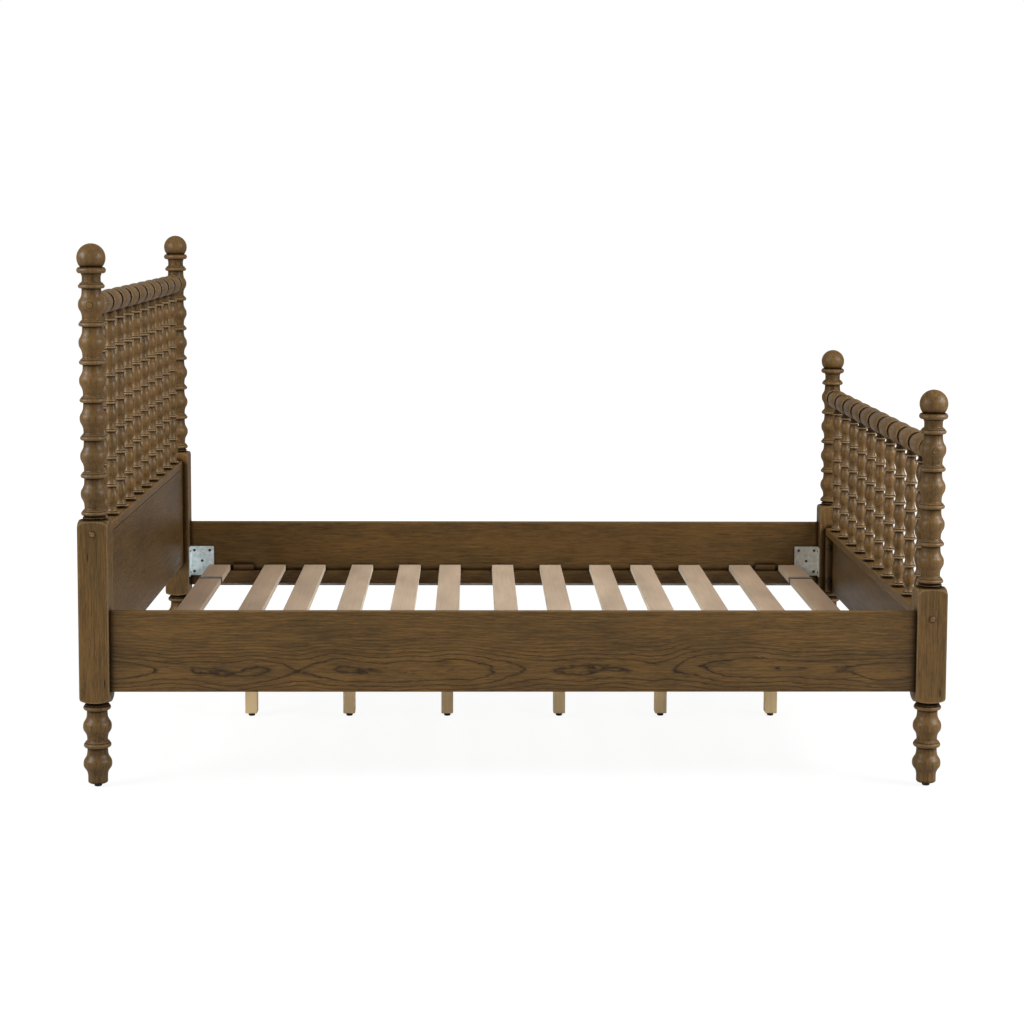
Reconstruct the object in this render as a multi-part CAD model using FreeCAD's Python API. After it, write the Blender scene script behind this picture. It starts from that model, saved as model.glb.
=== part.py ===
import FreeCAD, Part
import math
import os

# Spindle bed in millimetres: X along the length (head at -X, foot at +X), Y across, Z up.
# The origin is on the floor, under the middle of the bed.

V = FreeCAD.Vector
ROUND = 0.5523                   # pole distance at which a cubic curve follows a quarter circle

# ---- overall layout
post_spacing_x = 2118.0          # between the head and foot post centres
post_spacing_y = 1545.0          # between the near and far post centres
fit = 0.15                       # radial clearance of round tenons, shanks and plugs
seat = 0.3                       # clearance where a part lies loosely on another
touch = 1e-6                     # points closer than this are one point
overcut = 1.0                    # how far a cut starts or ends outside the wood
edge_pick = 1.0                  # tolerance for picking the edges to round

# ---- turned posts, measured from the floor up
post_width = 76.2                # square block
glide_height = 9.0
glide_radius = 10.0
glide_round = 3.0
foot_tip_length = 98.5           # underside of the foot to the lower foot ring
foot_tip_radius = 25.0
foot_tip_round = 5.0
foot_tip_neck = 17.0             # height of the narrow tip under the lower bead
foot_bead_height = 50.0          # centre of the lower bead over the underside
foot_pitch = 97.0                # lower foot ring to upper foot ring
foot_bead_share = 0.51           # centre of the upper foot bead, as a share of the pitch below its ring
foot_bead_radius = 36.2
foot_neck_radius = 26.0
foot_ring_radius = 34.8
foot_ring_half = 6.4
block_lift = 15.0                # upper foot ring to the bottom of the block
head_block_height = 466.5
foot_block_height = 296.0
pommel_radius = 29.0             # narrow end of the turned shoulders of the block
pommel_drop = 22.0               # height of those shoulders
pommel_reach = 1.2               # how far they run out past the corners
block_to_ring = 15.5             # top of the block to the first full ring
post_pitch = 95.25               # ring to ring up the turned length
head_units = 6
foot_units = 4
ring_radius = 33.2
ring_half = 5.6
lip_set_back = 3.7               # thin lip on top of each ring: its edge inside the ring's
lip_height = 1.2
cove_height = 7.0                # hollow that spreads from a neck to a lip
cove_slant = 0.15                # how little that hollow turns back towards the axis
post_bead_radius = 33.6
post_neck_radius = 24.4
neck_run = 7.0                   # straight neck under each ring
bead_share = 0.482               # centre of a bead, as a share of the pitch below its upper ring
bead_neck_hold = 0.65            # how long a bead's curve stays along its neck
bead_crest_hold = 0.48           # and along its crest
fillet_ring_radius = 29.6        # thin ring between the last full ring and the block
fillet_ring_half = 2.4
fillet_ring_lift = 4.6           # above the block
fillet_groove_radius = 26.2      # between the thin ring and the first full ring
collar_rise = 39.7               # ring under the finial to its collar
collar_radius = 36.6
collar_half = 8.0
finial_neck_radius = 23.4
finial_neck_flare = 2.0          # widening of that neck under the collar
ball_radius = 36.0
ball_rise = 31.0                 # collar to the centre of the ball

# ---- bobbin top rails
rail_drop = 46.7                 # last ring of the posts down to the axis of the rail
rail_bead_radius = 30.3
rail_ring_radius = 28.6
rail_ring_half = 3.8
rail_neck_radius = 22.6
rail_neck_hold = 0.5             # how long a bead's curve stays along its neck
rail_crest_hold = 0.7            # and along its crest
rail_end_radius = 21.0
rail_end_depth = 18.0            # length of the rail inside the post

# ---- spindles
spindle_count = 10
spindle_pitch = 144.7
head_spindle_unit = 73.0         # ring to ring
foot_spindle_unit = 74.3
head_spindle_units = 7
foot_spindle_units = 5
spindle_ring_radius = 17.8
spindle_ring_half = 3.0
spindle_collar_radius = 19.0
spindle_bead_radius = 17.0
spindle_bead_drop = 31.0         # ring down to the centre of its bead
spindle_shoulder_radius = 12.2   # straight step between a ring and the bead under it
spindle_shoulder_run = 3.0
spindle_shoulder_hold = 0.35     # how long the bead's curve stays along that step
spindle_crest_hold = 0.6         # and along its crest
spindle_neck_radius = 11.6
spindle_neck_drop = 56.0
spindle_neck_hold = 0.45
spindle_flare_radius = 15.0
spindle_flare_edge = 1.5         # short bevel between a flare and the ring under it
spindle_step = 1.0               # small step in radius beside that bevel
head_spindle_top_neck = 19.7     # top collar to the underside of the rail
foot_spindle_top_neck = 13.0
top_flare_share = 0.6            # share of that neck that spreads to the collar
spindle_base_height = 7.0        # bottom collar over the cap rail
spindle_base_radius = 14.0
top_tenon_radius = 12.0          # the neck runs straight up into the rail
tenon_radius = 9.5
tenon_length = 14.0
tenon_air = 1.0                  # free depth behind a tenon

# ---- cap rails and lower panels
cap_depth = 42.0
cap_height = 24.0
cap_round = 3.0
panel_thickness = 22.0
head_panel_floor_gap = 324.0     # the headboard's panel ends just over the slats
foot_panel_floor_gap = 238.0
panel_round = 1.5

# ---- cleats behind the panels, their bolts and the glue blocks
cleat_width = 25.0
cleat_depth = 20.0
cleat_gap = 2.0                  # under the cap rail
cleat_bolt_inset = 36.0
head_cleat_bolts = 3
foot_cleat_bolts = 2
bolt_shank_radius = 4.0
bolt_shank_length = 60.0
bolt_head_radius = 7.5
bolt_head_height = 5.0
bolt_head_edge = 2.0             # height of the head's rim
glue_block_length = 130.0
glue_block_leg = 17.0
glue_block_count = 3
glue_block_pitch = 500.0

# ---- long screws through the posts, and the wood plugs over them
rail_screw_head_radius = 4.6
rail_screw_head_height = 4.0
rail_screw_shank_radius = 3.0
rail_screw_length = 75.0
rail_plug_radius = 8.5
rail_plug_length = 12.0
rail_plug_proud = 0.8
rail_plug_round = 0.6
button_radius = 9.0
button_stem_radius = 6.0
button_stem_length = 14.0
button_proud = 3.0
button_edge = 0.6                # height of the button's rim
button_below_cap_top = 6.0

# ---- side rails and ledgers
side_rail_height = 206.0
side_rail_thickness = 25.4
side_rail_setback = 9.5          # behind the outer faces of the posts
side_rail_floor_gap = 249.0
side_rail_round = 3.0
ledger_height = 46.0
ledger_thickness = 25.0
ledger_lift = 3.0                # over the bottom of the side rail
ledger_end_gap = 80.0            # from the post to the end of the ledger
ledger_screw_count = 7
ledger_screw_inset = 34.0

# ---- steel rail brackets
bracket_thickness = 3.0
bracket_rail_leg = 76.0
bracket_post_leg = 38.0
bracket_height = 95.0
bracket_lift = 32.0              # over the bottom of the side rail
bracket_round = 3.0
bracket_hole_inset = 13.0
wood_screw_shank_radius = 2.2
wood_screw_head_radius = 4.4
wood_screw_head_height = 2.2
wood_screw_head_edge = 0.55      # height of the head's rim
wood_screw_length = 20.0

# ---- slats, stops and straps
slat_count = 13
slat_end_inset = 95.7            # from the posts' faces to the middle of the first and last slat
slat_width = 68.6
slat_thickness = 19.0
slat_round = 1.5
slat_end_gap = 12.0              # from the side rail to the end of a slat
# The slats are placed by hand: how far some lie off their even places.
slat_shift = {2: 25.0, 6: -24.0, 7: -8.0, 8: -7.0, 10: -20.0, 11: -17.0, 12: -7.0}
stop_length = 66.0
stop_height = 19.0
stop_thickness = 11.0
strap_width = 25.0
strap_thickness = 1.5
strap_inset = 252.0              # from the end of a slat to the strap

# ---- centre legs and their levellers
leg_width = 34.0
leg_depth = 38.0
leg_chamfer = 2.0
leg_every = 2                    # every second slat has a leg
leveller_height = 9.0
leveller_radius = 9.5
leveller_round = 2.5
leveller_stem_radius = 4.0
leveller_stem_length = 38.0
leveller_bore_depth = 52.0

# ---- places worked out from the sizes above
half_x = post_spacing_x / 2
half_y = post_spacing_y / 2
half_post = post_width / 2
foot_ring_low = glide_height + foot_tip_length
foot_ring_high = foot_ring_low + foot_pitch
block_bottom = foot_ring_high + block_lift
rail_x = half_x - half_post
post_inner_y = half_y - half_post
side_rail_outer_y = half_y + half_post - side_rail_setback
side_rail_inner_y = side_rail_outer_y - side_rail_thickness
ledger_top = side_rail_floor_gap + ledger_lift + ledger_height
ledger_inner_y = side_rail_inner_y - ledger_thickness
slat_top = ledger_top + slat_thickness
slat_half_length = side_rail_inner_y - slat_end_gap
slat_pitch = 2 * (rail_x - slat_end_inset) / (slat_count - 1)
through = 2 * post_width         # long enough to cut right through a post
bracket_bottom = side_rail_floor_gap + bracket_lift

boards = {
    "head": {"side": -1, "block": head_block_height, "units": head_units,
             "spindle_units": head_spindle_units, "spindle_unit": head_spindle_unit,
             "top_neck": head_spindle_top_neck, "panel_low": head_panel_floor_gap,
             "bolts": head_cleat_bolts},
    "foot": {"side": 1, "block": foot_block_height, "units": foot_units,
             "spindle_units": foot_spindle_units, "spindle_unit": foot_spindle_unit,
             "top_neck": foot_spindle_top_neck, "panel_low": foot_panel_floor_gap,
             "bolts": foot_cleat_bolts},
}
for board in boards.values():
    board["x"] = board["side"] * half_x
    board["block_top"] = block_bottom + board["block"]
    board["first_ring"] = board["block_top"] + block_to_ring
    board["last_ring"] = board["first_ring"] + board["units"] * post_pitch
    board["rail_z"] = board["last_ring"] - rail_drop
    board["spindle_top"] = board["rail_z"] - rail_bead_radius
    board["spindle_length"] = (board["top_neck"] + board["spindle_units"] * board["spindle_unit"]
                               + spindle_base_height)
    board["cap_top"] = board["spindle_top"] - board["spindle_length"]


class Profile:
    """Half outline of a turned piece: the radius against the height, drawn from one end to the other."""

    def __init__(self, radius, height):
        self.point = V(radius, 0, height)
        self.edges = []

    def line(self, radius, height):
        end = V(radius, 0, height)
        if end.distanceToPoint(self.point) > touch:
            self.edges.append(Part.LineSegment(self.point, end).toShape())
            self.point = end

    def arc(self, mid, end):
        middle, finish = V(mid[0], 0, mid[1]), V(end[0], 0, end[1])
        self.edges.append(Part.Arc(self.point, middle, finish).toShape())
        self.point = finish

    def curve(self, leave, arrive, end):
        """A smooth curve through two poles, given as radius and height."""
        bend = Part.BezierCurve()
        bend.setPoles([self.point, V(leave[0], 0, leave[1]), V(arrive[0], 0, arrive[1]), end])
        self.edges.append(bend.toShape())
        self.point = end

    def swell(self, radius, height, leave=0.6, arrive=0.6):
        """A double curve in line with the axis at both ends, held there for the given shares."""
        start, run = self.point, height - self.point.z
        self.curve((start.x, start.z + leave * run), (radius, height - arrive * run), V(radius, 0, height))

    def shoulder(self, radius, height):
        """A quarter round that lies across the axis at its narrow end and along it at its wide end."""
        start, end = self.point, V(radius, 0, height)
        spread, run = ROUND * (end.x - start.x), ROUND * (end.z - start.z)
        if end.x > start.x:
            self.curve((start.x + spread, start.z), (end.x, end.z - run), end)
        else:
            self.curve((start.x, start.z + run), (end.x - spread, end.z), end)

    def ring(self, radius, height, half, way):
        """A half-round ring. way is +1 when the outline runs up and -1 when it runs down."""
        self.line(radius - half, height - way * half)
        self.arc((radius, height), (radius - half, height + way * half))

    def dome(self, radius, height):
        """A round crown, from its top on the axis out to its rim."""
        top = self.point.z
        rise = top - height
        sphere = (radius ** 2 + rise ** 2) / (2 * rise)
        middle = math.acos(1 - rise / sphere) / 2
        self.arc((sphere * math.sin(middle), top - sphere * (1 - math.cos(middle))), (radius, height))

    def rounded_end(self, radius, height, corner):
        """Runs down to an end face at the given height, with a rounded edge."""
        slant = corner * (1 - math.sqrt(0.5))
        self.line(radius, height + corner)
        self.arc((radius - slant, height + slant), (radius - corner, height))

    def solid(self):
        """Closes the outline on the axis and turns it."""
        start = self.edges[0].firstVertex().Point
        end = self.point
        edges = list(self.edges)
        if end.x > touch:
            edges.append(Part.LineSegment(end, V(0, 0, end.z)).toShape())
        edges.append(Part.LineSegment(V(0, 0, end.z), V(0, 0, start.z)).toShape())
        if start.x > touch:
            edges.append(Part.LineSegment(V(0, 0, start.z), start).toShape())
        face = Part.Face(Part.Wire(Part.__sortEdges__(edges)))
        turned = face.revolve(V(0, 0, 0), V(0, 0, 1), 360)
        return Part.makeSolid(turned) if turned.ShapeType == "Shell" else turned


def box(x0, x1, y0, y1, z0, z1):
    return Part.makeBox(x1 - x0, y1 - y0, z1 - z0, V(x0, y0, z0))


def eased(solid, radius, along):
    """Rounds the four long edges of a box that runs along the given axis."""
    long_edges = []
    for edge in solid.Edges:
        run = edge.Vertexes[0].Point - edge.Vertexes[1].Point
        if abs(run.dot(along)) > edge_pick:
            long_edges.append(edge)
    return solid.makeFillet(radius, long_edges)


def rod(x, y, z, radius, length, direction):
    return Part.makeCylinder(radius, length, V(x, y, z), direction)


def mirrored_y(shape):
    return shape.mirror(V(0, 0, 0), V(0, 1, 0))


def at(shape, x, y, z=0.0):
    moved = shape.copy()
    moved.translate(V(x, y, z))
    return moved


def save(name, solids):
    solids = solids if isinstance(solids, list) else [solids]
    shape = solids[0] if len(solids) == 1 else Part.makeCompound(solids)
    shape.exportStep(os.path.join("parts", name + ".step"))


# ---- posts

def lipped_ring(line, radius, height, half):
    """Runs down from a neck through a hollow cove and a thin lip, and round a ring."""
    lip_top = height + half + lip_height
    line.line(line.point.x, lip_top + cove_height)
    line.swell(radius - lip_set_back, lip_top, arrive=cove_slant)
    line.line(radius - lip_set_back, height + half)
    line.ring(radius, height, half, -1)


def bead(line, radius, height, neck_end):
    """A bead between two necks of the same radius. The lower neck begins at neck_end."""
    neck = line.point.x
    line.swell(radius, height, bead_neck_hold, bead_crest_hold)
    line.swell(neck, neck_end, bead_crest_hold, bead_neck_hold)


def turned_shaft(board):
    """The turned upper length of a post, from the finial down to the block."""
    collar_z = board["last_ring"] + collar_rise
    ball_z = collar_z + ball_rise
    collar_top = collar_z + collar_half
    ball_cut = math.sqrt(ball_radius ** 2 - (ball_z - collar_top) ** 2)
    line = Profile(0, ball_z + ball_radius)
    line.dome(ball_cut, collar_top)
    line.ring(collar_radius, collar_z, collar_half, -1)
    line.line(finial_neck_radius + finial_neck_flare, collar_z - collar_half)
    lip_top = board["last_ring"] + ring_half + lip_height
    line.swell(finial_neck_radius, (collar_z - collar_half + lip_top + cove_height) / 2)
    for unit in range(board["units"]):
        ring_z = board["last_ring"] - unit * post_pitch
        lipped_ring(line, ring_radius, ring_z, ring_half)
        line.line(post_neck_radius, ring_z - ring_half)
        line.line(post_neck_radius, ring_z - ring_half - neck_run)
        cove_top = ring_z - post_pitch + ring_half + lip_height + cove_height
        bead(line, post_bead_radius, ring_z - bead_share * post_pitch, cove_top)
    lipped_ring(line, ring_radius, board["first_ring"], ring_half)
    fillet_z = board["block_top"] + fillet_ring_lift
    line.line(fillet_groove_radius, board["first_ring"] - ring_half)
    line.line(fillet_groove_radius, fillet_z + fillet_ring_half)
    line.ring(fillet_ring_radius, fillet_z, fillet_ring_half, -1)
    line.line(fillet_ring_radius - fillet_ring_half, board["block_top"])
    return line.solid()


def turned_foot():
    """The turned foot, from the block down to the underside."""
    line = Profile(foot_neck_radius, block_bottom)
    lipped_ring(line, foot_ring_radius, foot_ring_high, foot_ring_half)
    line.line(foot_neck_radius, foot_ring_high - foot_ring_half)
    line.line(foot_neck_radius, foot_ring_high - foot_ring_half - neck_run)
    cove_top = foot_ring_low + foot_ring_half + lip_height + cove_height
    bead(line, foot_bead_radius, foot_ring_high - foot_bead_share * foot_pitch, cove_top)
    lipped_ring(line, foot_ring_radius, foot_ring_low, foot_ring_half)
    line.line(foot_neck_radius, foot_ring_low - foot_ring_half)
    line.line(foot_neck_radius, foot_ring_low - foot_ring_half - neck_run)
    line.swell(foot_bead_radius, glide_height + foot_bead_height, bead_neck_hold, bead_crest_hold)
    line.swell(foot_tip_radius, glide_height + foot_tip_neck, bead_crest_hold, bead_neck_hold)
    line.rounded_end(foot_tip_radius, glide_height, foot_tip_round)
    return line.solid()


def square_block(board):
    """The square length of the post, with turned shoulders that cut its corners at both ends."""
    bottom, top = block_bottom, board["block_top"]
    wide = half_post * math.sqrt(2) + pommel_reach
    line = Profile(pommel_radius, bottom)
    line.shoulder(wide, bottom + pommel_drop)
    line.line(wide, top - pommel_drop)
    line.shoulder(pommel_radius, top)
    square = box(-half_post, half_post, -half_post, half_post, bottom, top)
    return square.common(line.solid())


def make_post(board):
    """A far post (+Y). The near one is its mirror image."""
    outer = half_y + half_post
    post = turned_shaft(board).fuse([square_block(board), turned_foot()])
    post = at(post, board["x"], half_y)
    x, rail_z = board["x"], board["rail_z"]
    rail_end_y = half_y - post_bead_radius + rail_end_depth
    inward, screw_y = V(0, -1, 0), half_y + post_bead_radius - rail_plug_length
    cuts = [
        rod(x, rail_end_y + tenon_air, rail_z, rail_end_radius + fit, through, inward),
        rod(x, outer, rail_z, rail_plug_radius + fit, outer - screw_y + rail_screw_head_height, inward),
        rod(x, screw_y, rail_z, rail_screw_shank_radius + fit, rail_screw_length, inward),
    ]
    button_z = board["cap_top"] - button_below_cap_top
    button_hole = button_stem_length + rail_screw_head_height
    cuts.append(rod(x, outer, button_z, button_stem_radius + fit, button_hole, inward))
    cuts.append(rod(x, outer, button_z, rail_screw_shank_radius + fit, through, inward))
    for z in cleat_bolt_heights(board):
        cuts.append(rod(cleat_x(board), post_inner_y - overcut, z, bolt_shank_radius + fit,
                        bolt_shank_length - cleat_width + overcut + tenon_air, V(0, 1, 0)))
    bolt_face = x - board["side"] * half_post
    for y, z in bracket_post_holes():
        cuts.append(rod(bolt_face, y, z, wood_screw_shank_radius + fit, wood_screw_length,
                        V(board["side"], 0, 0)))
    return post.cut(cuts)


# ---- top rails, spindles, cap rails and panels

def make_top_rail(board):
    """A bobbin-turned rail between the posts: a long bead over each spindle, and a ring between them."""
    half_length = half_y - post_bead_radius + rail_end_depth
    first_ring = spindle_count / 2 * spindle_pitch
    line = Profile(rail_end_radius, -half_length)
    line.line(rail_end_radius, -first_ring - rail_ring_half)
    for unit in range(spindle_count):
        start = -first_ring + unit * spindle_pitch
        line.ring(rail_ring_radius, start, rail_ring_half, 1)
        line.line(rail_neck_radius, start + rail_ring_half)
        middle, end = start + spindle_pitch / 2, start + spindle_pitch - rail_ring_half
        line.swell(rail_bead_radius, middle, rail_neck_hold, rail_crest_hold)
        line.swell(rail_neck_radius, end, rail_crest_hold, rail_neck_hold)
    line.ring(rail_ring_radius, first_ring, rail_ring_half, 1)
    line.line(rail_end_radius, first_ring + rail_ring_half)
    line.line(rail_end_radius, half_length)
    rail = line.solid()
    rail.rotate(V(0, 0, 0), V(1, 0, 0), -90)
    rail = at(rail, board["x"], 0, board["rail_z"])
    cuts = []
    for y in spindle_ys():
        cuts.append(rod(board["x"], y, board["spindle_top"] - rail_bead_radius, top_tenon_radius + fit,
                        rail_bead_radius + tenon_length + tenon_air, V(0, 0, 1)))
    screw_depth = rail_screw_length - (half_length_to_screw() - half_length) + tenon_air
    for way in (-1, 1):
        cuts.append(rod(board["x"], way * half_length, board["rail_z"], rail_screw_shank_radius + fit,
                        screw_depth, V(0, -way, 0)))
    return rail.cut(cuts)


def half_length_to_screw():
    """From the middle of the bed to the underside of a top-rail screw's head."""
    return half_y + post_bead_radius - rail_plug_length - rail_screw_head_height


def spindle_ys():
    return [(index - (spindle_count - 1) / 2) * spindle_pitch for index in range(spindle_count)]


def make_spindle(board):
    """One spindle, with its tenons, standing on the origin at its base shoulder."""
    length, pitch, top_neck = board["spindle_length"], board["spindle_unit"], board["top_neck"]
    line = Profile(top_tenon_radius, length + tenon_length)
    collar_z = length - top_neck
    collar_top = collar_z + spindle_ring_half
    line.line(top_tenon_radius, collar_top + top_flare_share * (top_neck - spindle_ring_half))
    line.swell(spindle_flare_radius, collar_top, arrive=cove_slant)
    line.ring(spindle_collar_radius, collar_z, spindle_ring_half, -1)
    for unit in range(board["spindle_units"]):
        ring_z = collar_z - unit * pitch
        flare_end = ring_z - pitch + spindle_ring_half
        last = unit == board["spindle_units"] - 1
        line.line(spindle_shoulder_radius, ring_z - spindle_ring_half)
        line.line(spindle_shoulder_radius, ring_z - spindle_ring_half - spindle_shoulder_run)
        bead_z, neck_z = ring_z - spindle_bead_drop, ring_z - spindle_neck_drop
        line.swell(spindle_bead_radius, bead_z, spindle_shoulder_hold, spindle_crest_hold)
        line.swell(spindle_neck_radius, neck_z, spindle_crest_hold, spindle_neck_hold)
        line.swell(spindle_flare_radius, flare_end + spindle_flare_edge, arrive=cove_slant)
        line.line(spindle_flare_radius - spindle_step, flare_end)
        radius = spindle_collar_radius if last else spindle_ring_radius
        line.ring(radius, ring_z - pitch, spindle_ring_half, -1)
    line.line(spindle_base_radius, spindle_base_height - spindle_ring_half)
    line.line(spindle_base_radius, 0)
    line.line(tenon_radius, 0)
    line.line(tenon_radius, -tenon_length)
    return line.solid()


def make_cap_rail(board):
    x, top = board["x"], board["cap_top"]
    back, front = x - cap_depth / 2, x + cap_depth / 2
    cap = eased(box(back, front, -post_inner_y, post_inner_y, top - cap_height, top), cap_round, V(0, 1, 0))
    cuts = [rod(x, y, top, tenon_radius + fit, tenon_length + tenon_air, V(0, 0, -1)) for y in spindle_ys()]
    screw_z = top - button_below_cap_top
    depth = rail_screw_length - (post_width - button_stem_length - rail_screw_head_height) + tenon_air
    hole_radius = rail_screw_shank_radius + fit
    for way in (-1, 1):
        cuts.append(rod(x, way * post_inner_y, screw_z, hole_radius, depth, V(0, -way, 0)))
    return cap.cut(cuts)


def panel_faces(board):
    """The back and front of a panel: its front is flush with the cap rail's foot-side face."""
    front = board["x"] + cap_depth / 2
    return front - panel_thickness, front


def make_panel(board):
    back, front = panel_faces(board)
    panel = box(back, front, -post_inner_y, post_inner_y, board["panel_low"], board["cap_top"] - cap_height)
    low = [e for e in panel.Edges
           if e.BoundBox.ZMax < board["panel_low"] + edge_pick and e.BoundBox.YLength > edge_pick]
    return panel.makeFillet(panel_round, low)


# ---- cleats, bolts and glue blocks behind the panels

def cleat_x(board):
    return panel_faces(board)[0] - cleat_depth / 2


def cleat_span(board):
    return board["panel_low"], board["cap_top"] - cap_height - cleat_gap


def cleat_bolt_heights(board):
    low, high = cleat_span(board)
    low, high = low + cleat_bolt_inset, high - cleat_bolt_inset
    step = (high - low) / (board["bolts"] - 1)
    return [low + index * step for index in range(board["bolts"])]


def make_cleat(board):
    low, high = cleat_span(board)
    x = cleat_x(board)
    cleat = box(x - cleat_depth / 2, x + cleat_depth / 2,
                post_inner_y - cleat_width, post_inner_y, low, high)
    start, depth = post_inner_y - cleat_width - overcut, cleat_width + 2 * overcut
    holes = [rod(x, start, z, bolt_shank_radius + fit, depth, V(0, 1, 0))
             for z in cleat_bolt_heights(board)]
    return cleat.cut(holes)


def make_cleat_bolts(board):
    """Round-headed bolts through the cleat into the post, heads towards the middle of the bed."""
    face = post_inner_y - cleat_width
    bolts = []
    for z in cleat_bolt_heights(board):
        line = Profile(0, bolt_head_height)
        line.dome(bolt_head_radius, bolt_head_edge)
        line.line(bolt_head_radius, 0)
        line.line(bolt_shank_radius, 0)
        line.line(bolt_shank_radius, -bolt_shank_length)
        bolt = line.solid()
        bolt.rotate(V(0, 0, 0), V(1, 0, 0), 90)
        bolts.append(at(bolt, cleat_x(board), face, z))
    return bolts


def make_glue_blocks(board):
    """Three-cornered blocks in the angle between the panel's back and the cap rail's underside."""
    back, ceiling = panel_faces(board)[0], board["cap_top"] - cap_height
    blocks = []
    for index in range(glue_block_count):
        y = (index - (glue_block_count - 1) / 2) * glue_block_pitch - glue_block_length / 2
        corner = V(back, y, ceiling)
        outline = Part.makePolygon([corner, corner + V(-glue_block_leg, 0, 0),
                                    corner + V(0, 0, -glue_block_leg), corner])
        blocks.append(Part.Face(outline).extrude(V(0, glue_block_length, 0)))
    return blocks


# ---- long screws and plugs

def make_rail_screws(board):
    """The two screws that hold the far ends of a top rail and of a cap rail."""
    line = Profile(rail_screw_head_radius, 0)
    line.line(rail_screw_head_radius, -rail_screw_head_height)
    line.line(rail_screw_shank_radius, -rail_screw_head_height)
    line.line(rail_screw_shank_radius, -rail_screw_head_height - rail_screw_length)
    screw = line.solid()
    screw.rotate(V(0, 0, 0), V(1, 0, 0), -90)
    top_y = half_y + post_bead_radius - rail_plug_length
    cap_y = half_y + half_post - button_stem_length
    return [at(screw, board["x"], top_y, board["rail_z"]),
            at(screw, board["x"], cap_y, board["cap_top"] - button_below_cap_top)]


def make_rail_plug(board):
    """A small wood plug over a top-rail screw, a little proud of the post's bead."""
    start = half_y + post_bead_radius - rail_plug_length
    length = rail_plug_length + rail_plug_proud
    plug = rod(board["x"], start, board["rail_z"], rail_plug_radius, length, V(0, 1, 0))
    return plug.makeFillet(rail_plug_round, [plug.Edges[0]])


def make_button(board):
    """A domed wood button with a stem, on the outer face of the block."""
    line = Profile(0, button_proud)
    line.dome(button_radius, button_edge)
    line.line(button_radius, 0)
    line.line(button_stem_radius, 0)
    line.line(button_stem_radius, -button_stem_length)
    button = line.solid()
    button.rotate(V(0, 0, 0), V(1, 0, 0), -90)
    return at(button, board["x"], half_y + half_post, board["cap_top"] - button_below_cap_top)


def make_glide(board):
    line = Profile(glide_radius, glide_height)
    line.rounded_end(glide_radius, 0, glide_round)
    return at(line.solid(), board["x"], half_y)


# ---- side rails, ledgers and brackets

def bracket_rail_holes():
    """Five holes in a quincunx in the leg that lies on the side rail."""
    x0, x1 = rail_x - bracket_rail_leg + bracket_hole_inset, rail_x - bracket_hole_inset
    z0, z1 = bracket_bottom + bracket_hole_inset, bracket_bottom + bracket_height - bracket_hole_inset
    return [(x0, z0), (x0, z1), (x1, z0), (x1, z1), ((x0 + x1) / 2, (z0 + z1) / 2)]


def bracket_post_holes():
    """Two holes in the leg that lies on the post."""
    y = side_rail_inner_y - bracket_post_leg / 2 - bracket_thickness / 2
    low, high = bracket_bottom + bracket_hole_inset, bracket_bottom + bracket_height - bracket_hole_inset
    return [(y, low), (y, high)]


def ledger_half_length():
    return rail_x - ledger_end_gap


def ledger_screws():
    reach = ledger_half_length() - ledger_screw_inset
    z = ledger_top - ledger_height / 2
    step = 2 * reach / (ledger_screw_count - 1)
    return [(-reach + index * step, z) for index in range(ledger_screw_count)]


def make_side_rail():
    rail = box(-rail_x, rail_x, side_rail_inner_y, side_rail_outer_y,
               side_rail_floor_gap, side_rail_floor_gap + side_rail_height)
    rail = eased(rail, side_rail_round, V(1, 0, 0))
    holes = []
    for way in (-1, 1):
        for x, z in bracket_rail_holes():
            holes.append(rod(way * x, side_rail_inner_y, z, wood_screw_shank_radius + fit,
                             wood_screw_length, V(0, 1, 0)))
    for x, z in ledger_screws():
        depth = ledger_screw_reach() + tenon_air
        holes.append(rod(x, side_rail_inner_y, z, wood_screw_shank_radius + fit, depth, V(0, 1, 0)))
    return rail.cut(holes)


def ledger_screw_reach():
    """How far a ledger screw goes into the side rail."""
    return side_rail_thickness / 2


def make_ledger():
    ledger = box(-ledger_half_length(), ledger_half_length(), ledger_inner_y, side_rail_inner_y,
                 ledger_top - ledger_height, ledger_top)
    start, depth = ledger_inner_y - overcut, ledger_thickness + 2 * overcut
    holes = [rod(x, start, z, wood_screw_shank_radius + fit, depth, V(0, 1, 0))
             for x, z in ledger_screws()]
    return ledger.cut(holes)


def make_bracket():
    """A bent steel bracket at the foot end (+X) of the far side rail."""
    z0, z1 = bracket_bottom, bracket_bottom + bracket_height
    wall_y, wall_x = side_rail_inner_y, rail_x
    on_rail = box(wall_x - bracket_rail_leg, wall_x, wall_y - bracket_thickness, wall_y, z0, z1)
    on_post = box(wall_x - bracket_thickness, wall_x, wall_y - bracket_post_leg, wall_y, z0, z1)
    corners = [e for e in on_rail.Edges
               if e.BoundBox.YLength > edge_pick and e.BoundBox.XMax < wall_x - edge_pick]
    on_rail = on_rail.makeFillet(bracket_round, corners)
    corners = [e for e in on_post.Edges
               if e.BoundBox.XLength > edge_pick and e.BoundBox.YMax < wall_y - edge_pick]
    on_post = on_post.makeFillet(bracket_round, corners)
    hole_radius = wood_screw_shank_radius + fit
    holes = [rod(x, wall_y - bracket_thickness, z, hole_radius, bracket_thickness, V(0, 1, 0))
             for x, z in bracket_rail_holes()]
    holes += [rod(wall_x - bracket_thickness, y, z, hole_radius, bracket_thickness, V(1, 0, 0))
              for y, z in bracket_post_holes()]
    return on_rail.fuse(on_post).removeSplitter().cut(holes)


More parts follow.
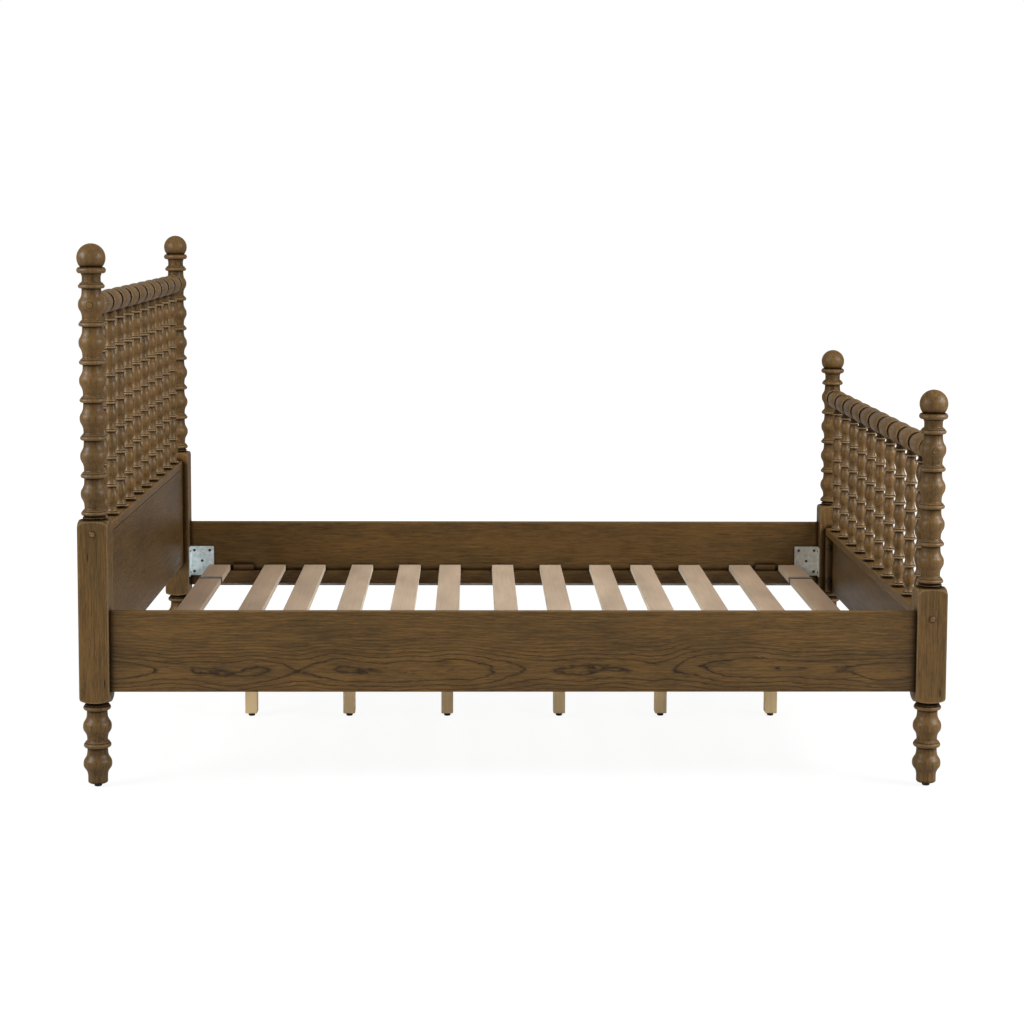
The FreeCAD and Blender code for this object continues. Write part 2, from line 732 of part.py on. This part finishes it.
def wood_screw(length):
    """A low-headed screw along +Z, its head's underside at the origin and its shank below."""
    line = Profile(0, wood_screw_head_height)
    line.dome(wood_screw_head_radius, wood_screw_head_edge)
    line.line(wood_screw_head_radius, 0)
    line.line(wood_screw_shank_radius, 0)
    line.line(wood_screw_shank_radius, -length)
    return line.solid()


def make_bracket_screws():
    """The seven screws of the bracket at the foot end of the far side rail."""
    length = wood_screw_length - tenon_air
    screws = []
    for x, z in bracket_rail_holes():
        screw = wood_screw(length)
        screw.rotate(V(0, 0, 0), V(1, 0, 0), 90)
        screws.append(at(screw, x, side_rail_inner_y - bracket_thickness, z))
    for y, z in bracket_post_holes():
        screw = wood_screw(length)
        screw.rotate(V(0, 0, 0), V(0, 1, 0), -90)
        screws.append(at(screw, rail_x - bracket_thickness, y, z))
    return screws


def make_ledger_screws():
    screws = []
    for x, z in ledger_screws():
        screw = wood_screw(ledger_thickness + ledger_screw_reach())
        screw.rotate(V(0, 0, 0), V(1, 0, 0), 90)
        screws.append(at(screw, x, ledger_inner_y, z))
    return screws


# ---- slats, stops and straps

def slat_xs():
    middle = (slat_count + 1) / 2
    return [(number - middle) * slat_pitch + slat_shift.get(number, 0.0)
            for number in range(1, slat_count + 1)]


def make_slats():
    slats = []
    for x in slat_xs():
        slat = box(x - slat_width / 2, x + slat_width / 2, -slat_half_length, slat_half_length,
                   ledger_top, slat_top)
        slats.append(eased(slat, slat_round, V(0, 1, 0)))
    return slats


def make_stops():
    """Small blocks on the far ledger, between the last two slats at each end."""
    stops = []
    for way in (-1, 1):
        x = way * (slat_count / 2 - 1) * slat_pitch
        stops.append(box(x - stop_length / 2, x + stop_length / 2, side_rail_inner_y - stop_thickness,
                         side_rail_inner_y, ledger_top, ledger_top + stop_height))
    return stops


def make_strap():
    """Webbing at the far side: it lies under all slats and is looped over the first and the last one."""
    y = slat_half_length - strap_inset
    y0, y1 = y - strap_width / 2, y + strap_width / 2
    first, last = slat_xs()[0], slat_xs()[-1]
    reach = slat_width / 2 + seat + strap_thickness
    under = ledger_top - seat
    strap = box(first - reach, last + reach, y0, y1, under - strap_thickness, under)
    for x in (first, last):
        loop = box(x - reach, x + reach, y0, y1, under - strap_thickness, slat_top + seat + strap_thickness)
        hollow = box(x - reach + strap_thickness, x + reach - strap_thickness, y0, y1,
                     under, slat_top + seat)
        strap = strap.fuse(loop.cut(hollow))
    return strap.removeSplitter()


# ---- centre legs and levellers

def make_leg(x):
    bottom = leveller_height + seat
    leg = box(x - leg_width / 2, x + leg_width / 2, -leg_depth / 2, leg_depth / 2, bottom, ledger_top)
    low = [e for e in leg.Edges if e.BoundBox.ZMax < bottom + edge_pick]
    leg = leg.makeChamfer(leg_chamfer, low)
    return leg.cut(rod(x, 0, bottom - overcut, leveller_stem_radius + fit, leveller_bore_depth, V(0, 0, 1)))


def make_leveller(x):
    """A round pad on a threaded stem. It screws out of the leg to meet an uneven floor."""
    line = Profile(leveller_stem_radius, leveller_height + leveller_stem_length)
    line.line(leveller_stem_radius, leveller_height)
    line.line(leveller_radius, leveller_height)
    line.rounded_end(leveller_radius, 0, leveller_round)
    return at(line.solid(), x, 0)


def both_sides(shapes):
    return shapes + [mirrored_y(shape) for shape in shapes]


def mirrored_x(shape):
    return shape.mirror(V(0, 0, 0), V(1, 0, 0))


os.makedirs("parts", exist_ok=True)
rail_screws, rail_plugs, buttons, glides, cleat_bolts, glue_blocks = [], [], [], [], [], []
for end, board in boards.items():
    post = make_post(board)
    save("post_%s_far" % end, post)
    save("post_%s_near" % end, mirrored_y(post))
    save("top_rail_" + end, make_top_rail(board))
    save("cap_rail_" + end, make_cap_rail(board))
    save("panel_" + end, make_panel(board))
    save("panel_cleats_" + end, both_sides([make_cleat(board)]))
    spindle = make_spindle(board)
    for number, y in enumerate(spindle_ys(), 1):
        save("spindle_%s_%02d" % (end, number), at(spindle, board["x"], y, board["cap_top"]))
    rail_screws += both_sides(make_rail_screws(board))
    rail_plugs += both_sides([make_rail_plug(board)])
    buttons += both_sides([make_button(board)])
    glides += both_sides([make_glide(board)])
    cleat_bolts += both_sides(make_cleat_bolts(board))
    glue_blocks += make_glue_blocks(board)
save("post_screws", rail_screws)
save("rail_plugs", rail_plugs)
save("button_plugs", buttons)
save("post_glides", glides)
save("cleat_bolts", cleat_bolts)
save("glue_blocks", glue_blocks)

side_rail = make_side_rail()
ledger = make_ledger()
strap = make_strap()
for name, shape in (("side_rail", side_rail), ("ledger", ledger), ("webbing_strap", strap)):
    save(name + "_far", shape)
    save(name + "_near", mirrored_y(shape))

bracket = make_bracket()
bracket_pair = [bracket, mirrored_x(bracket)]
save("rail_brackets", both_sides(bracket_pair))
bracket_screws = make_bracket_screws()
bracket_screws += [mirrored_x(screw) for screw in bracket_screws]
save("wood_screws", both_sides(bracket_screws + make_ledger_screws()))
save("slats", make_slats())
save("slat_stops", both_sides(make_stops()))

for number, x in enumerate(slat_xs()[leg_every - 1::leg_every], 1):
    save("centre_leg_%d" % number, make_leg(x))
    save("leveller_%d" % number, make_leveller(x))
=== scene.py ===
import bpy
import math
from mathutils import Matrix, Vector


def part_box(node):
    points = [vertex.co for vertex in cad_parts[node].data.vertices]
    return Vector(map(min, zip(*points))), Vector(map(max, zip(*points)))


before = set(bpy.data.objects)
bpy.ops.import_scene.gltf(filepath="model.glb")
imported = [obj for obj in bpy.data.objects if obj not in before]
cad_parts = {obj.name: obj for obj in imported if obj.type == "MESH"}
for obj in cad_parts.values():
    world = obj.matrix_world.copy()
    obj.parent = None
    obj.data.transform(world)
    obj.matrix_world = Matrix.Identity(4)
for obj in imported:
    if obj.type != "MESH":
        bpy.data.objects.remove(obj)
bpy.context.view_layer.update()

# ---- camera: the photograph's view, from a fit to the bed's own points
IMAGE = 1024
FOCAL_PX = 2169.29
CENTRE_Y_PX = 410.0
SENSOR = 36.0
CAMERA_AT = (-0.1077, -6.2119, 1.4675)
YAW = math.radians(1.057)
PITCH = math.radians(5.282)
ROLL = math.radians(0.2196)


def make_camera():
    data = bpy.data.cameras.new("photo_camera")
    data.sensor_width = SENSOR
    data.lens = FOCAL_PX / IMAGE * SENSOR
    data.shift_y = (CENTRE_Y_PX - IMAGE / 2) / IMAGE
    camera = bpy.data.objects.new("photo_camera", data)
    bpy.context.scene.collection.objects.link(camera)
    forward = Vector((math.sin(YAW) * math.cos(PITCH), math.cos(YAW) * math.cos(PITCH), -math.sin(PITCH)))
    right = forward.cross(Vector((0, 0, 1))).normalized()
    up = right.cross(forward)
    rolled_right = math.cos(ROLL) * right + math.sin(ROLL) * up
    rolled_up = math.cos(ROLL) * up - math.sin(ROLL) * right
    turn = Matrix((rolled_right, rolled_up, -forward)).transposed()
    camera.matrix_world = Matrix.Translation(CAMERA_AT) @ turn.to_4x4()
    bpy.context.scene.camera = camera


# ---- a small helper for node trees
class Shade:
    """Builds the node tree of a material or of the world."""

    def __init__(self, owner):
        owner.use_nodes = True
        self.owner = owner
        self.tree = owner.node_tree
        self.tree.nodes.clear()
        self.point = self.add("ShaderNodeTexCoord").outputs["Object"]

    def add(self, kind, inputs=None, **settings):
        node = self.tree.nodes.new(kind)
        for key, value in settings.items():
            setattr(node, key, value)
        for key, value in (inputs or {}).items():
            self.put(node.inputs[key], value)
        return node

    def put(self, socket, value):
        if isinstance(value, bpy.types.NodeSocket):
            self.tree.links.new(value, socket)
        else:
            socket.default_value = value

    def math(self, operation, first, second=0.0):
        return self.add("ShaderNodeMath", {0: first, 1: second}, operation=operation).outputs[0]

    def range(self, value, low, high, to_low=0.0, to_high=1.0):
        return self.add("ShaderNodeMapRange", {"Value": value, "From Min": low, "From Max": high,
                                               "To Min": to_low, "To Max": to_high}).outputs[0]

    def noise(self, point, scale=1.0, detail=2.0, roughness=0.5):
        return self.add("ShaderNodeTexNoise", {"Vector": point, "Scale": scale, "Detail": detail,
                                               "Roughness": roughness}).outputs[0]

    def grained(self, grain, along, across, detail=2.0, roughness=0.5):
        """Noise drawn out along the grain. Both scales are in features per metre."""
        stretched = self.add("ShaderNodeMapping", {"Vector": grain, "Scale": (along, across, across)})
        return self.noise(stretched.outputs[0], 1.0, detail, roughness)

    def mix(self, share, first, second, blend="MIX"):
        node = self.add("ShaderNodeMix", data_type="RGBA", blend_type=blend)
        for socket, value in ((node.inputs[0], share), (node.inputs[6], first), (node.inputs[7], second)):
            self.put(socket, value)
        return node.outputs[2]

    def grey(self, level):
        return self.add("ShaderNodeCombineXYZ", {0: level, 1: level, 2: level}).outputs[0]

    def split(self, vector):
        return self.add("ShaderNodeSeparateXYZ", {0: vector}).outputs

    def ramp(self, value, stops):
        node = self.add("ShaderNodeValToRGB", {"Fac": value})
        points = node.color_ramp.elements
        while len(points) < len(stops):
            points.new(0.5)
        for point, (place, level) in zip(points, stops):
            point.position = place
            point.color = (level, level, level, 1)
        return node.outputs[0]

    def along(self, axis):
        """The object's own coordinates with the grain's direction first."""
        if axis == "x":
            return self.point
        split = self.split(self.point)
        order = {"y": (1, 0, 2), "z": (2, 0, 1)}[axis]
        return self.add("ShaderNodeCombineXYZ", {i: split[k] for i, k in enumerate(order)}).outputs[0]

    def open_share(self, reach, inside=False):
        """How open the surface is within a short reach: low in hollows, or inside near outer edges."""
        node = self.add("ShaderNodeAmbientOcclusion", {"Distance": reach}, samples=6, inside=inside)
        return node.outputs["AO"]

    def surface(self, colour, roughness, bump, bump_depth, **others):
        """Closes the material. Other sockets of the shader are given by their names, with _ for a space."""
        shader = self.add("ShaderNodeBsdfPrincipled", {"Base Color": colour, "Roughness": roughness})
        for key, value in others.items():
            self.put(shader.inputs[key.replace("_", " ")], value)
        raised = self.add("ShaderNodeBump", {"Strength": 1.0, "Distance": bump_depth, "Height": bump})
        self.put(shader.inputs["Normal"], raised.outputs[0])
        self.close("ShaderNodeOutputMaterial", shader)
        return self.owner

    def close(self, kind, shader):
        self.tree.links.new(shader.outputs[0], self.add(kind).inputs[0])


def material(name):
    return Shade(bpy.data.materials.new(name))


def rgb(red, green, blue):
    return (red, green, blue, 1.0)


def toned(colour, tone):
    return rgb(*[part * tone for part in colour[:3]])


# ---- stained wood
BLOCK_HALF = 0.0381     # half the width of a post's square block
STAIN_WARM = rgb(0.178, 0.092, 0.024)
STAIN_COOL = rgb(0.052, 0.031, 0.010)
# The dark stain below also colours the painted shade over the ends of a piece.
STAIN_DARK_AND_SHADE = rgb(0.018, 0.009, 0.004)
# The worn stain below is also the painted highlight on crests and edges.
STAIN_WORN_AND_HIGHLIGHT = rgb(0.360, 0.240, 0.120)
# The glaze below also colours the painted shade in the hollows.
GLAZE_AND_SHADE = rgb(0.014, 0.007, 0.003)
GLAZE_GLOSS = 0.03      # the glaze in the hollows is nearly matt
EDGE_REACH = 0.0045     # how far from a sharp edge the stain is rubbed thin and painted lighter as a highlight
GRAIN_DEPTH = 0.00018


def growth_rings(shade, grain, heart, spacing, wander, ragged=0.3):
    """Thin dark late-wood lines: shells about the heart of the tree, which wanders along the board."""
    wobble = shade.grained(grain, 2.1, 3.0)
    ripple = shade.grained(grain, 16.0, 50.0, 4.0, 0.62)
    split = shade.split(grain)
    across = shade.math("SUBTRACT", split[1], heart[0])
    up = shade.math("SUBTRACT", split[2], heart[1])
    squares = shade.math("ADD", shade.math("MULTIPLY", across, across), shade.math("MULTIPLY", up, up))
    radius = shade.math("SQRT", squares)
    radius = shade.math("ADD", radius, shade.range(wobble, 0.25, 0.75, -wander, wander))
    ripple = shade.range(ripple, 0.2, 0.8, -spacing * ragged, spacing * ragged)
    phase = shade.math("FRACT", shade.math("DIVIDE", shade.math("ADD", radius, ripple), spacing))
    return shade.ramp(phase, [(0.0, 1.0), (0.08, 0.35), (0.16, 0.0), (0.74, 0.0), (0.90, 0.3), (0.97, 1.0)])


def spot(shade, at, half):
    """A soft-edged spot about a point, with its half sizes in metres."""
    parts = []
    for place, middle, reach in zip(shade.split(shade.point), at, half):
        away = shade.math("DIVIDE", shade.math("SUBTRACT", place, middle), reach)
        parts.append(shade.math("MULTIPLY", away, away))
    away = shade.math("ADD", shade.math("ADD", parts[0], parts[1]), parts[2])
    return shade.range(away, 1.2, 0.5)


def stained_wood(name, axis, heart, spacing=0.009, wander=0.020, lines=0.15, tone=1.0, rough=0.40,
                 worn_and_highlight=0.15, glaze_and_shade=(0.014, 0.94, 0.64), gloss=0.25, marks=(), painted_shade_from=None,
                 line_reach=None):
    """Brown stain rubbed thin on the crests, which are also painted lighter as a highlight, with dark glaze
    left in the hollows, deepened there as painted shade, and darker right at the sharpest edges.

    heart is the tree's heart across the grain, and lines the strength of its growth rings. The glaze and
    painted shade in the hollows are set by the reach of a hollow, and how open it is where they start and
    where they are full. line_reach fades the rings out above and below the heart, and painted_shade_from
    paints shade over the ends of a piece along X.
    """
    shade = material(name)
    grain = shade.along(axis)
    blotch = shade.grained(grain, 3.5, 11.0, 3.0, 0.6)
    streak = shade.grained(grain, 8.0, 170.0, 3.0, 0.65)
    fibre = shade.grained(grain, 28.0, 430.0, 2.0, 0.65)
    pores = shade.grained(grain, 45.0, 800.0, 1.0)
    level = shade.range(blotch, 0.3, 0.7, -0.40, 0.40)
    level = shade.math("ADD", level, shade.range(streak, 0.3, 0.7, -0.40, 0.40))
    level = shade.math("ADD", level, shade.range(fibre, 0.25, 0.75, -0.75, 0.75))
    colour = shade.mix(shade.range(level, -1.0, 1.0), toned(STAIN_COOL, tone), toned(STAIN_WARM, tone))
    rings = growth_rings(shade, grain, heart, spacing, wander)
    share = shade.range(streak, 0.25, 0.6, 0.35 * lines, lines)
    if line_reach:
        away = shade.math("ABSOLUTE", shade.math("SUBTRACT", shade.split(grain)[2], heart[1]))
        share = shade.math("MULTIPLY", share, shade.range(away, *line_reach, 1.0, 0.22))
    colour = shade.mix(shade.math("MULTIPLY", rings, share), colour, STAIN_DARK_AND_SHADE)
    pore_mask = shade.range(pores, 0.62, 0.72)
    colour = shade.mix(shade.math("MULTIPLY", pore_mask, 0.5), colour, STAIN_DARK_AND_SHADE)
    edge = shade.open_share(EDGE_REACH, inside=True)
    # Worn crests, painted lighter as a highlight.
    colour = shade.mix(shade.range(edge, 0.96, 0.78, 0.0, worn_and_highlight), colour, STAIN_WORN_AND_HIGHLIGHT)
    # Darker right at the sharpest outer edges.
    colour = shade.mix(shade.range(edge, 0.74, 0.55, 0.0, 0.75), colour, STAIN_DARK_AND_SHADE)
    # Dark glaze in the hollows, deepened as painted shade.
    reach, *limits = glaze_and_shade
    hollow = shade.range(shade.open_share(reach), *limits)
    colour = shade.mix(shade.math("MULTIPLY", hollow, 0.95), colour, GLAZE_AND_SHADE)
    for at, half in marks:
        colour = shade.mix(shade.math("MULTIPLY", spot(shade, at, half), 0.9), colour, GLAZE_AND_SHADE)
    # Painted shade: the ends of the piece along X are darkened, as in the posts' shadow.
    if painted_shade_from:
        distance = shade.math("ABSOLUTE", shade.split(shade.point)[0])
        colour = shade.mix(shade.range(distance, *painted_shade_from, 0.0, 0.28), colour, STAIN_DARK_AND_SHADE)
    height = shade.math("SUBTRACT", shade.math("MULTIPLY", fibre, 0.5), shade.math("ADD", pore_mask, rings))
    roughness = shade.range(streak, 0.3, 0.7, rough - 0.05, rough + 0.08)
    shine = shade.range(hollow, 0.0, 0.8, gloss, GLAZE_GLOSS)
    return shade.surface(colour, roughness, height, GRAIN_DEPTH, Specular_IOR_Level=shine)


# ---- bare wood of the slats and legs
def bare_wood(name, axis, top, side, heart, rough=0.62, painted_shade_from=None):
    """Planed softwood, paler on its side faces than on its top and bottom faces. It can be darkened towards
    its ends along X as painted shade.
    """
    shade = material(name)
    grain = shade.along(axis)
    blotch = shade.grained(grain, 3.0, 9.0, 3.0)
    streak = shade.grained(grain, 5.0, 190.0, 3.0, 0.6)
    rings = growth_rings(shade, grain, heart, 0.0045, 0.010)
    normal = shade.add("ShaderNodeNewGeometry").outputs["Normal"]
    upright = shade.math("ABSOLUTE", shade.split(normal)[2])
    base = shade.mix(shade.range(upright, 0.2, 0.6), side, top)
    # Painted shade: darker towards the ends along X, as in the head and foot boards' shadow.
    if painted_shade_from:
        distance = shade.math("ABSOLUTE", shade.split(shade.point)[0])
        base = shade.mix(shade.range(distance, *painted_shade_from), base, rgb(0.29, 0.19, 0.115))
    level = shade.range(blotch, 0.3, 0.7, 0.82, 1.14)
    level = shade.math("ADD", level, shade.range(streak, 0.3, 0.7, -0.07, 0.07))
    colour = shade.mix(1.0, base, shade.grey(level), "MULTIPLY")
    colour = shade.mix(shade.math("MULTIPLY", rings, 0.16), colour, rgb(0.30, 0.19, 0.11))
    height = shade.math("SUBTRACT", shade.math("MULTIPLY", streak, 0.4), rings)
    return shade.surface(colour, rough, height, 0.00012)


# ---- metals, plastic and webbing
def zinc_plate():
    shade = material("zinc_plate")
    cloud = shade.noise(shade.point, 90.0, 4.0, 0.6)
    speck = shade.noise(shade.point, 700.0, 2.0, 0.6)
    # Painted light: plates at the left are painted paler and bluer, as if lit, and those at the right darker
    # and yellower, as if shaded.
    new = shade.mix(shade.range(cloud, 0.35, 0.65), rgb(0.54, 0.63, 0.65), rgb(0.80, 0.90, 0.92))
    zinc_painted_shaded = shade.mix(shade.range(cloud, 0.35, 0.65), rgb(0.42, 0.40, 0.34), rgb(0.60, 0.58, 0.51))
    colour = shade.mix(shade.range(shade.split(shade.point)[0], -0.3, 0.3), new, zinc_painted_shaded)
    colour = shade.mix(shade.range(speck, 0.60, 0.75, 0.0, 0.35), colour, rgb(0.20, 0.21, 0.21))
    return shade.surface(colour, shade.range(cloud, 0.3, 0.7, 0.42, 0.6), speck, 0.00005, Metallic=0.3)


def plain_metal(name, colour, metallic, roughness):
    shade = material(name)
    wear = shade.noise(shade.point, 400.0, 3.0, 0.6)
    tone = shade.mix(shade.range(wear, 0.3, 0.7), toned(colour, 0.8), colour)
    return shade.surface(tone, shade.range(wear, 0.3, 0.7, roughness - 0.08, roughness + 0.1), wear, 0.00004,
                         Metallic=metallic)


def black_plastic():
    shade = material("black_plastic")
    grit = shade.noise(shade.point, 1500.0, 2.0)
    tone = shade.mix(grit, rgb(0.010, 0.010, 0.010), rgb(0.022, 0.021, 0.020))
    return shade.surface(tone, 0.5, grit, 0.00005)


def webbing_fabric():
    shade = material("webbing_fabric")
    split = shade.split(shade.point)
    warp = shade.math("SINE", shade.math("MULTIPLY", split[1], 2 * math.pi / 0.0016))
    weft = shade.math("SINE", shade.math("MULTIPLY", split[0], 2 * math.pi / 0.0022))
    weave = shade.math("MULTIPLY", warp, weft)
    tone = shade.mix(shade.range(weave, -1.0, 1.0), rgb(0.008, 0.008, 0.008), rgb(0.026, 0.025, 0.024))
    return shade.surface(tone, 0.8, weave, 0.0002, Sheen_Weight=0.3)


def post_marks():
    """Three small dark dents in the near posts' blocks, as (middle, half sizes)."""
    low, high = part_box("post_head_near")
    post_x, front = (low.x + high.x) / 2, (low.y + high.y) / 2 - BLOCK_HALF
    places = [(post_x - 0.0123, 0.594), (post_x + 0.026, 0.272), (0.023 - post_x, 0.248)]
    return [((x, front, z), (0.0018, 0.02, 0.012)) for x, z in places]


def stains():
    """The stained woods, each with its own grain, wear, painted highlight and painted shade."""
    rail_low, rail_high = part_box("side_rail_near")
    outer_y, rail_end = rail_low.y, rail_high.x
    board_heart, turned_heart = (-1.35, 0.20), (-1.20, -0.95)
    # The near rail's ends get painted shade, as if the posts shaded them.
    near_rail = stained_wood("stained_near_rail", "x", (outer_y + 0.050, 0.306), spacing=0.0068,
                             wander=0.021, lines=1.0, tone=0.98, worn_and_highlight=0.0,
                             painted_shade_from=(rail_end - 0.10, rail_end), line_reach=(0.045, 0.085))
    far_rail = stained_wood("stained_far_rail", "x", (-outer_y + 0.10, 0.50), tone=0.86)
    across = stained_wood("stained_across", "y", board_heart, tone=0.95)
    panel = stained_wood("stained_panel", "y", board_heart, lines=0.08, tone=0.70)
    upright = stained_wood("stained_upright", "z", turned_heart, lines=0.12, tone=0.98, rough=0.41,
                           worn_and_highlight=0.4, glaze_and_shade=(0.018, 0.96, 0.70), gloss=0.27, marks=post_marks())
    spindle = stained_wood("stained_spindle", "z", turned_heart, lines=0.10, tone=1.01, rough=0.39,
                           worn_and_highlight=0.7, glaze_and_shade=(0.018, 0.98, 0.72), gloss=0.30)
    top_rail = stained_wood("stained_top_rail", "y", board_heart, tone=1.02, rough=0.31,
                            worn_and_highlight=0.5, glaze_and_shade=(0.020, 0.95, 0.68), gloss=0.35)
    plug = stained_wood("stained_plug", "x", (-0.60, 0.90), tone=1.5, rough=0.26)
    return [
        ("side_rail_near", near_rail), ("side_rail_far", far_rail), ("ledger_", far_rail),
        ("slat_stops", far_rail), ("top_rail_", top_rail), ("cap_rail_", across),
        ("glue_blocks", across), ("panel_cleats_", upright), ("panel_", panel), ("post_head", upright),
        ("post_foot", upright), ("spindle_", spindle), ("rail_plugs", plug), ("button_plugs", plug),
    ]


def other_finishes():
    # The slats get painted shade towards the head and foot boards.
    slat = bare_wood("slat_wood", "y", rgb(0.465, 0.347, 0.242), rgb(0.80, 0.70, 0.55), (0.02, 0.10),
                     painted_shade_from=(0.45, 1.05))
    leg = bare_wood("leg_wood", "z", rgb(0.68, 0.51, 0.28), rgb(0.68, 0.51, 0.28), (0.03, 0.07))
    zinc = zinc_plate()
    screw = plain_metal("screw_steel", rgb(0.06, 0.055, 0.05), 0.6, 0.45)
    bolt = plain_metal("bolt_steel", rgb(0.030, 0.028, 0.030), 0.6, 0.35)
    plastic = black_plastic()
    webbing = webbing_fabric()
    return [
        ("rail_brackets", zinc), ("wood_screws", screw), ("post_screws", screw), ("cleat_bolts", bolt),
        ("slats", slat), ("webbing_strap_", webbing), ("centre_leg_", leg), ("leveller_", plastic),
        ("post_glides", plastic),
    ]


def dress():
    """Gives every CAD node its finish, by the start of its name."""
    finishes = stains() + other_finishes()
    for name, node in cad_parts.items():
        finish = next(finish for start, finish in finishes if name.startswith(start))
        node.data.materials.clear()
        node.data.materials.append(finish)


# ---- studio
LEFT_WATTS = 175
RIGHT_WATTS = 225
TOP_WATTS = 80
ROOM_LEVEL = 0.34                 # the even light from all round
BACKDROP_GLOSS = (0.10, 0.28)     # what gloss shows: in front of the bed, and behind it
FLOOR_HALF = 14.0
FLOOR_GLOW = (1.13, 1.3)          # under the bed, and where the floor meets the backdrop


def lamp(name, at, aim, size, power, glints=True):
    data = bpy.data.lights.new(name, "AREA")
    data.shape = "RECTANGLE"
    data.size, data.size_y = size
    data.energy = power
    light = bpy.data.objects.new(name, data)
    bpy.context.scene.collection.objects.link(light)
    light.visible_glossy = glints
    light.location = at
    light.rotation_euler = (Vector(aim) - Vector(at)).to_track_quat("-Z", "Y").to_euler()


def make_studio():
    """Two softboxes in front, one above, and a white backdrop, which gloss shows as a dark grey."""
    lamp("left_softbox", (-4.0, -2.1, 2.4), (-0.4, 0, 0.7), (2.0, 2.0), LEFT_WATTS)
    lamp("right_softbox", (4.0, -1.9, 2.4), (0.4, 0, 0.7), (2.0, 2.0), RIGHT_WATTS)
    lamp("top_softbox", (0, 0.2, 4.2), (0, 0, 0.4), (3.6, 2.6), TOP_WATTS, glints=False)
    world = bpy.data.worlds.new("studio")
    bpy.context.scene.world = world
    shade = Shade(world)
    rays = shade.add("ShaderNodeLightPath").outputs
    seen = shade.math("MAXIMUM", rays["Is Camera Ray"], rays["Is Transmission Ray"])
    direction = shade.add("ShaderNodeTexCoord").outputs["Generated"]
    backdrop = shade.range(shade.split(direction)[1], 0.20, 0.80, *BACKDROP_GLOSS)
    level = shade.mix(rays["Is Glossy Ray"], shade.grey(ROOM_LEVEL), shade.grey(backdrop))
    level = shade.mix(seen, level, rgb(1, 1, 1))
    shade.close("ShaderNodeOutputWorld", shade.add("ShaderNodeBackground", {"Color": level, "Strength": 1.0}))


def make_floor():
    """A plain white floor that keeps the bed's shadow and runs out into the white backdrop."""
    mesh = bpy.data.meshes.new("floor")
    corners = [(FLOOR_HALF * x, FLOOR_HALF * y, 0) for x, y in ((-1, -1), (1, -1), (1, 1), (-1, 1))]
    mesh.from_pydata(corners, [], [(0, 1, 2, 3)])
    floor = bpy.data.objects.new("floor", mesh)
    bpy.context.scene.collection.objects.link(floor)
    shade = material("floor_white")
    rays = shade.add("ShaderNodeLightPath").outputs
    distance = shade.add("ShaderNodeVectorMath", {0: shade.point}, operation="LENGTH").outputs["Value"]
    strength = shade.range(distance, 1.6, 3.2, *FLOOR_GLOW)
    glow = shade.add("ShaderNodeEmission", {"Color": rgb(1, 1, 1), "Strength": strength})
    diffuse = shade.add("ShaderNodeBsdfDiffuse", {"Color": rgb(0.50, 0.50, 0.50)})
    share = shade.math("MULTIPLY", rays["Is Camera Ray"], 0.80)
    both = shade.add("ShaderNodeMixShader", {0: share, 1: diffuse.outputs[0], 2: glow.outputs[0]})
    shade.close("ShaderNodeOutputMaterial", both)
    floor.data.materials.append(shade.owner)


make_camera()
dress()
make_studio()
make_floor()
bpy.context.scene.view_settings.view_transform = "Standard"
